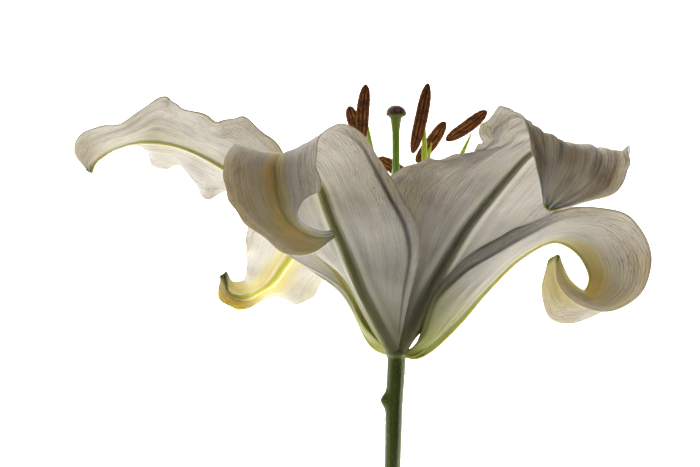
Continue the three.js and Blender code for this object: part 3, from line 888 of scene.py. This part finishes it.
def green_skin(name, light, dark, streaks, specks, rough):
    """A green material, with its tree, its shader and the colour to wire on from."""
    material, tree, shader = new_finish(name)
    knobs = {"Light": light, "Dark": dark, "Streaks": streaks, "Specks": specks, "Rough": rough}
    skin = add_group(tree, green_group, knobs)
    tree.links.new(skin["Roughness"], shader.inputs["Roughness"])
    bumped(tree, shader, skin["Height"], GREEN_RELIEF, 0.7)
    set_knobs(shader, {"Subsurface Weight": 0.35, "Subsurface Scale": 0.0015})
    set_knobs(shader, {"Subsurface Radius": (0.5, 1.0, 0.25)})
    return material, tree, shader, skin["Colour"]


stalk_finish, tree, shader, colour = green_skin(
    "stalk green", (0.14, 0.20, 0.022, 1), (0.045, 0.075, 0.010, 1), 2.6, 0.5, 0.34
)
lower = soft_step(tree, kept_value(tree, "reach"), 20.0, 80.0, 1.0, 0.0)
paler = tint(tree, product(tree, lower, 0.62), colour, (0.30, 0.36, 0.11, 1))
top = soft_step(tree, kept_value(tree, "reach"), 86.0, 92.0)
topped = tint(tree, product(tree, top, 0.6), paler, (0.16, 0.2, 0.04, 1))
pith = tint(tree, kept_value(tree, "cut"), topped, (0.62, 0.66, 0.42, 1))
tree.links.new(pith, shader.inputs["Base Color"])
finish_piece(stalk, "pedicel", stalk_finish)
print("stalk made")

# %% [markdown]
# ## The pistil
# In the middle stands the pistil. Its ovary is a six-ribbed green capsule at the bottom of the cup.
# From it rises the style, three-sided and slightly swollen under its tip. On top sits the stigma,
# a three-lobed cushion that is sticky and dark. Each is one round piece with its own radius.

# %% Make the ovary, style and stigma
OVARY_RADIUS = 1.9
STYLE_RADIUS = 1.35
STIGMA_RADIUS = 3.6
OVARY = smooth_line([(0, 0, 0.6), (0, 0, 10), (0, 0, 21)])
STYLE = smooth_line([(0, 0, 20.8), (-0.3, 0, 52.6), (-0.5, 0, 85.2)])
STIGMA = smooth_line([(-0.5, 0, 84.3), (-0.5, 0, 86.5), (-0.5, 0, 88.9)])


def ovary_radius(u, angle):
    """Six ribs, a little narrower at both ends."""
    belly = 0.72 + 0.28 * math.sin(math.pi * min(u * 1.15, 1)) ** 0.6
    return OVARY_RADIUS * belly * (1 + 0.07 * math.cos(6 * angle))


def style_radius(u, angle):
    """Three soft sides, and a swelling just under the stigma."""
    return (STYLE_RADIUS + 0.7 * ease(0.9, 1, u)) * (1 + 0.05 * math.cos(3 * angle))


def stigma_radius(u, angle):
    """Three lobes with creases between them, domed on top and tucked in below."""
    dome = max(1 - abs(1.3 * u - 0.32) ** 2.2, 0.02) ** 0.5 * (0.62 + 0.38 * ease(0, 0.3, u))
    crease = 0.2 * (0.5 + 0.5 * math.cos(3 * angle)) ** 0.4
    return STIGMA_RADIUS * dome * (0.9 + crease)


ovary_finish, tree, shader, colour = green_skin(
    "ovary green", (0.34, 0.42, 0.1, 1), (0.2, 0.28, 0.06, 1), 3.0, 0.2, 0.35
)
tree.links.new(colour, shader.inputs["Base Color"])
ovary = round_piece(OVARY, ovary_radius, 48, 60, EAST, rough_by=0.03)
finish_piece(ovary, "ovary", ovary_finish)

style_finish, tree, shader, colour = green_skin(
    "style green", (0.27, 0.44, 0.06, 1), (0.13, 0.27, 0.025, 1), 3.4, 0.35, 0.3
)
rise = soft_step(tree, kept_value(tree, "along"), 0.86, 1.0)
yellowed = tint(tree, product(tree, rise, 0.55), colour, (0.34, 0.38, 0.09, 1))
tree.links.new(yellowed, shader.inputs["Base Color"])
style = round_piece(STYLE, style_radius, 36, 160, EAST, rough_by=0.03)
finish_piece(style, "style", style_finish)
print("ovary and style made")

# %% [markdown]
# The stigma's surface is a carpet of tiny glassy knobs, wet with nectar. Small Voronoi cells give
# the knobs, and a clear coat gives the wetness.

# %% The stigma
stigma_finish, tree, shader = new_finish("stigma maroon")
place = object_place(tree)
knob = soft_step(tree, cells(tree, place, 2600.0), 0.0, 0.65, 1.0, 0.0)
patches = soft_step(tree, grain(tree, place, 420.0, 3.0), 0.38, 0.66)
dark = tint(tree, patches, (0.06, 0.016, 0.008, 1), (0.22, 0.065, 0.030, 1))
lit = tint(tree, product(tree, knob, 0.35), dark, (0.36, 0.15, 0.08, 1))
base = soft_step(tree, kept_value(tree, "along"), 0.18, 0.42, 1.0, 0.0)
greenish = tint(tree, product(tree, base, 0.92), lit, (0.20, 0.32, 0.05, 1))
tree.links.new(greenish, shader.inputs["Base Color"])
tree.links.new(soft_step(tree, patches, 0.0, 1.0, 0.32, 0.55), shader.inputs["Roughness"])
set_knobs(shader, {"Coat Weight": 0.06, "Coat Roughness": 0.2})
bumped(tree, shader, knob, 0.00022)
stigma = round_piece(STIGMA, stigma_radius, 96, 48, EAST, rough_by=0.12)
finish_piece(stigma, "stigma", stigma_finish)
print("stigma made")

# %% [markdown]
# ## The stamens
# Each stamen has a filament, a thin lime green stalk that bows outwards, and an anther hung from
# its middle. Each stamen is given by the anther's two ends, the joint where the filament meets
# it, and a point that the filament bends through.

# %% Where the stamens are
STAMENS = (
    ((-17.3, 3, 88.6), (-11.5, 3, 76.3), (-13.2, 0.8, 82.4), (-7.5, 0.5, 50)),
    ((-11.2, -20, 96.1), (-12.6, -20, 75.6), (-11.7, -17.7, 86.1), (-6, -10, 52)),
    ((11, -19, 96.5), (5.5, -19, 71.3), (9.6, -16.7, 85), (9.5, -10, 52)),
    ((17.6, 16, 83.2), (7, 16, 68.5), (12.6, 13.6, 75.5), (6.5, 8, 45)),
    ((32.4, 1, 86.9), (17.6, 1, 76.2), (26.9, 1, 78.9), (15, 0.5, 52)),
    ((-6.6, 16, 70.2), (6.5, 18, 61.5), (-1.5, 14, 66), (-2.5, 7, 40)),
)
print("stamens:", len(STAMENS))

# %% [markdown]
# The filament tapers to a point where it meets the anther. It is a round piece like the style.

# %% Make the filaments
FOOT_FROM_AXIS = 3.0
FOOT_HEIGHT = 3.2
FOOT_RADIUS = 1.0
SWELLING = 0.4  # how much thicker the filament is halfway up

filament_finish, tree, shader, colour = green_skin(
    "filament green", (0.76, 0.82, 0.06, 1), (0.56, 0.68, 0.03, 1), 2.4, 0.15, 0.32
)
low = soft_step(tree, kept_value(tree, "along"), 0.0, 0.25, 1.0, 0.0)
pale_foot = tint(tree, product(tree, low, 0.6), colour, (0.62, 0.66, 0.36, 1))
tree.links.new(pale_foot, shader.inputs["Base Color"])


def filament_line(joint, bend):
    """From the bottom of the cup, out through the bend, to the joint."""
    joint, bend = Vector(joint), Vector(bend)
    foot = Vector((joint.x, joint.y, 0)).normalized() * FOOT_FROM_AXIS
    foot.z = FOOT_HEIGHT
    return smooth_line([foot, foot.lerp(bend, 0.4), bend, joint])


def filament_radius(u, angle):
    """Slim at the foot, nearly a point at the joint, and not quite round."""
    body = FOOT_RADIUS + SWELLING * ease(0.1, 0.5, u)
    return body * (1 - 0.85 * u**8) * (1 + 0.05 * math.cos(2 * angle))


for number, (_, _, joint, bend) in enumerate(STAMENS, 1):
    sideways = Vector((-joint[1], joint[0], 0)).normalized()
    thin = round_piece(filament_line(joint, bend), filament_radius, 20, 110, sideways, rough_by=0.02)
    finish_piece(thin, f"filament_{number}", filament_finish)
print("filaments made")

# %% [markdown]
# An anther is two long pollen sacs side by side, each of which has split open along a seam. The
# pollen is rust red and sticky, and two sizes of bump make its clots and single grains. It is
# brighter where it is thick and fluffy along the seams, with painted highlight on its edges and on
# the ridge of each sac, and painted shade makes it nearly black in the groove.

# %% The pollen's finish
anther_finish, tree, shader = new_finish("anther rust")
place = object_place(tree)
turned = math_node(tree, "ABSOLUTE", kept_value(tree, "side_x"))
# Pollen along the slits at the edges, with painted highlight there and on the ridge of each sac.
edge_slit_and_highlight = soft_step(tree, turned, 0.80, 0.97)
sac_ridge_highlight = product(tree, soft_step(tree, turned, 0.16, 0.3), soft_step(tree, turned, 0.52, 0.34))
seam = math_node(tree, "MAXIMUM", edge_slit_and_highlight, sac_ridge_highlight)
groove = soft_step(tree, turned, 0.22, 0.02)
clots = grain(tree, place, 950.0, 4.0, 0.6)
single = soft_step(tree, cells(tree, place, 5200.0), 0.0, 0.6, 1.0, 0.0)
clotted = soft_step(tree, clots, 0.35, 0.68)
rust = tint(tree, clotted, (0.12, 0.032, 0.012, 1), (0.34, 0.11, 0.028, 1))
fluffy = soft_step(tree, grain(tree, place, 330.0, 3.0), 0.42, 0.62, 0.15, 0.95)
bright = product(tree, seam, fluffy)
rust = tint(tree, bright, rust, (0.80, 0.30, 0.05, 1))
# Painted shade, nearly black, in the groove between the sacs.
rust = tint(tree, product(tree, groove, 0.7), rust, (0.055, 0.02, 0.014, 1))
tree.links.new(rust, shader.inputs["Base Color"])
tree.links.new(soft_step(tree, clots, 0.2, 0.8, 0.95, 0.72), shader.inputs["Roughness"])
set_knobs(shader, {"Sheen Weight": 0.35, "Sheen Roughness": 0.6, "Sheen Tint": (0.9, 0.45, 0.2, 1)})
lumps = total(tree, clots, product(tree, single, 0.4))
bumped(tree, shader, lumps, 0.0004)
print("pollen finish ready")

# %% [markdown]
# An anther is a round piece too, a little flattened. The radius function gives the groove between
# the sacs and a thin seam on each, and a noise on the corners makes the outline uneven.

# %% Make the anthers
ANTHER_RADIUS = 2.45
ANTHER_DEPTH = 0.66  # as a share of its width
ANTHER_BOW = 0.8  # millimetres that its middle bows away from the flower's axis


def anther_radius(u, angle):
    """Two sacs with a groove between them, a seam on each, and rounded ends."""
    ends = max(1 - abs(2 * u - 1) ** 4.0, 0.0) ** 0.55
    groove = 0.42 * abs(math.sin(angle)) ** 14
    seam = 0.15 * math.exp(-((math.sin(angle) / 0.16) ** 2))
    taper = 1 - 0.16 * abs(2 * u - 1) ** 1.5
    return ANTHER_RADIUS * taper * max(ends, 0.06) * (1 - groove - seam)


for number, (start, finish, _, _) in enumerate(STAMENS, 1):
    start, finish = Vector(start), Vector(finish)
    middle = (start + finish) / 2
    bow = Vector((middle.x, middle.y, 0)).normalized() * ANTHER_BOW
    sac = round_piece(
        smooth_line([start, middle + bow, finish]),
        anther_radius,
        72,
        150,
        Vector((1, 0, 0.2)),
        flat=ANTHER_DEPTH,
        rough_by=0.16,
    )
    finish_piece(sac, f"anther_{number}", anther_finish)
print("anthers made")

# %% [markdown]
# ## The table, the light and the camera
# The table is a plain pale sheet that glows, as a light table does, and most strongly right under
# the flower. Light from below is what shows a petal's veins, so it does most of the work here: it
# makes one layer of petal bright and two layers dusky.

# %% The table
TABLE_REACH = 4.0  # metres from the middle of the table to its edges
GLOW_MIDDLE = (-0.04, 0.1, 0)

table_mesh = bmesh.new()
bmesh.ops.create_grid(table_mesh, x_segments=1, y_segments=1, size=TABLE_REACH)
sheet = bpy.data.meshes.new("table")
table_mesh.to_mesh(sheet)
table_mesh.free()
table = add_object("table", sheet)
table_finish, tree, shader = new_finish("table white")
set_knobs(shader, {"Base Color": (0.86, 0.86, 0.85, 1), "Roughness": 0.8, "Emission Strength": 1.0})
away = tree.nodes.new("ShaderNodeVectorMath")
away.operation = "DISTANCE"
plug(tree, away.inputs[0], object_place(tree))
away.inputs[1].default_value = GLOW_MIDDLE
underneath = soft_step(tree, away.outputs["Value"], 0.12, 0.8, 1.0, 0.0)
glow = tint(tree, underneath, (0.95, 0.94, 0.92, 1), (2.25, 2.2, 2.08, 1))
tree.links.new(glow, shader.inputs["Emission Color"])
sheet.materials.append(table_finish)
print("table laid at z = 0")

# %% [markdown]
# A small lamp behind the flower and to its left shines through the petals that stand up. Two
# faint ones, overhead and from the left, keep the sides that face the camera from going flat, and
# a dim studio sky fills in the rest.

# %% The lights
world = bpy.data.worlds.new("studio")
bpy.context.scene.world = world
world.use_nodes = True
sky = world.node_tree.nodes["Background"]
sky.inputs["Color"].default_value = (1.0, 0.985, 0.96, 1)
sky.inputs["Strength"].default_value = 0.1


def soft_lamp(name, place, aim, size, power, colour):
    """A square area lamp that points at a place."""
    lamp = bpy.data.lights.new(name, "AREA")
    lamp.size = size
    lamp.energy = power
    lamp.color = colour
    holder = add_object(name, lamp)
    holder.location = place
    holder.rotation_euler = (Vector(aim) - Vector(place)).to_track_quat("-Z", "Y").to_euler()


MIDDLE = (0.0, 0.0, 0.08)
soft_lamp("overhead", (-0.25, 0.35, 1.3), MIDDLE, 1.1, 0.4, (1.0, 0.98, 0.94))
soft_lamp("from behind", (-0.45, 1.1, 0.4), MIDDLE, 0.6, 4.6, (1.0, 0.97, 0.92))
soft_lamp("from the left", (-1.2, 0.25, 0.55), MIDDLE, 0.3, 0.35, (1.0, 0.98, 0.94))

# %% [markdown]
# The camera looks straight at the side of the flower, so on a table it looks down: its line of sight
# is the flower's +Y, turned by the same matrix. A long lens from far away keeps the near and
# far tepals in proportion.

# %% The camera
FAR_MM = 3000
VIEW_WIDTH_MM = 252
SENSOR_MM = 36
aim = Vector((-16.9, 0, 42.7))
camera_data = bpy.data.cameras.new("camera")
camera_data.sensor_width = SENSOR_MM
camera_data.lens = SENSOR_MM * FAR_MM / VIEW_WIDTH_MM
camera_data.clip_end = 20
camera = add_object("camera", camera_data)
upright_view = Matrix(((1, 0, 0), (0, 0, -1), (0, 1, 0))).to_4x4()
camera.matrix_world = Matrix.Translation(laid @ (aim - Vector((0, FAR_MM, 0)))) @ laid_turn @ upright_view
bpy.context.scene.camera = camera
bpy.context.scene.view_settings.view_transform = "Standard"
print("camera at", [round(v, 2) for v in camera.location])
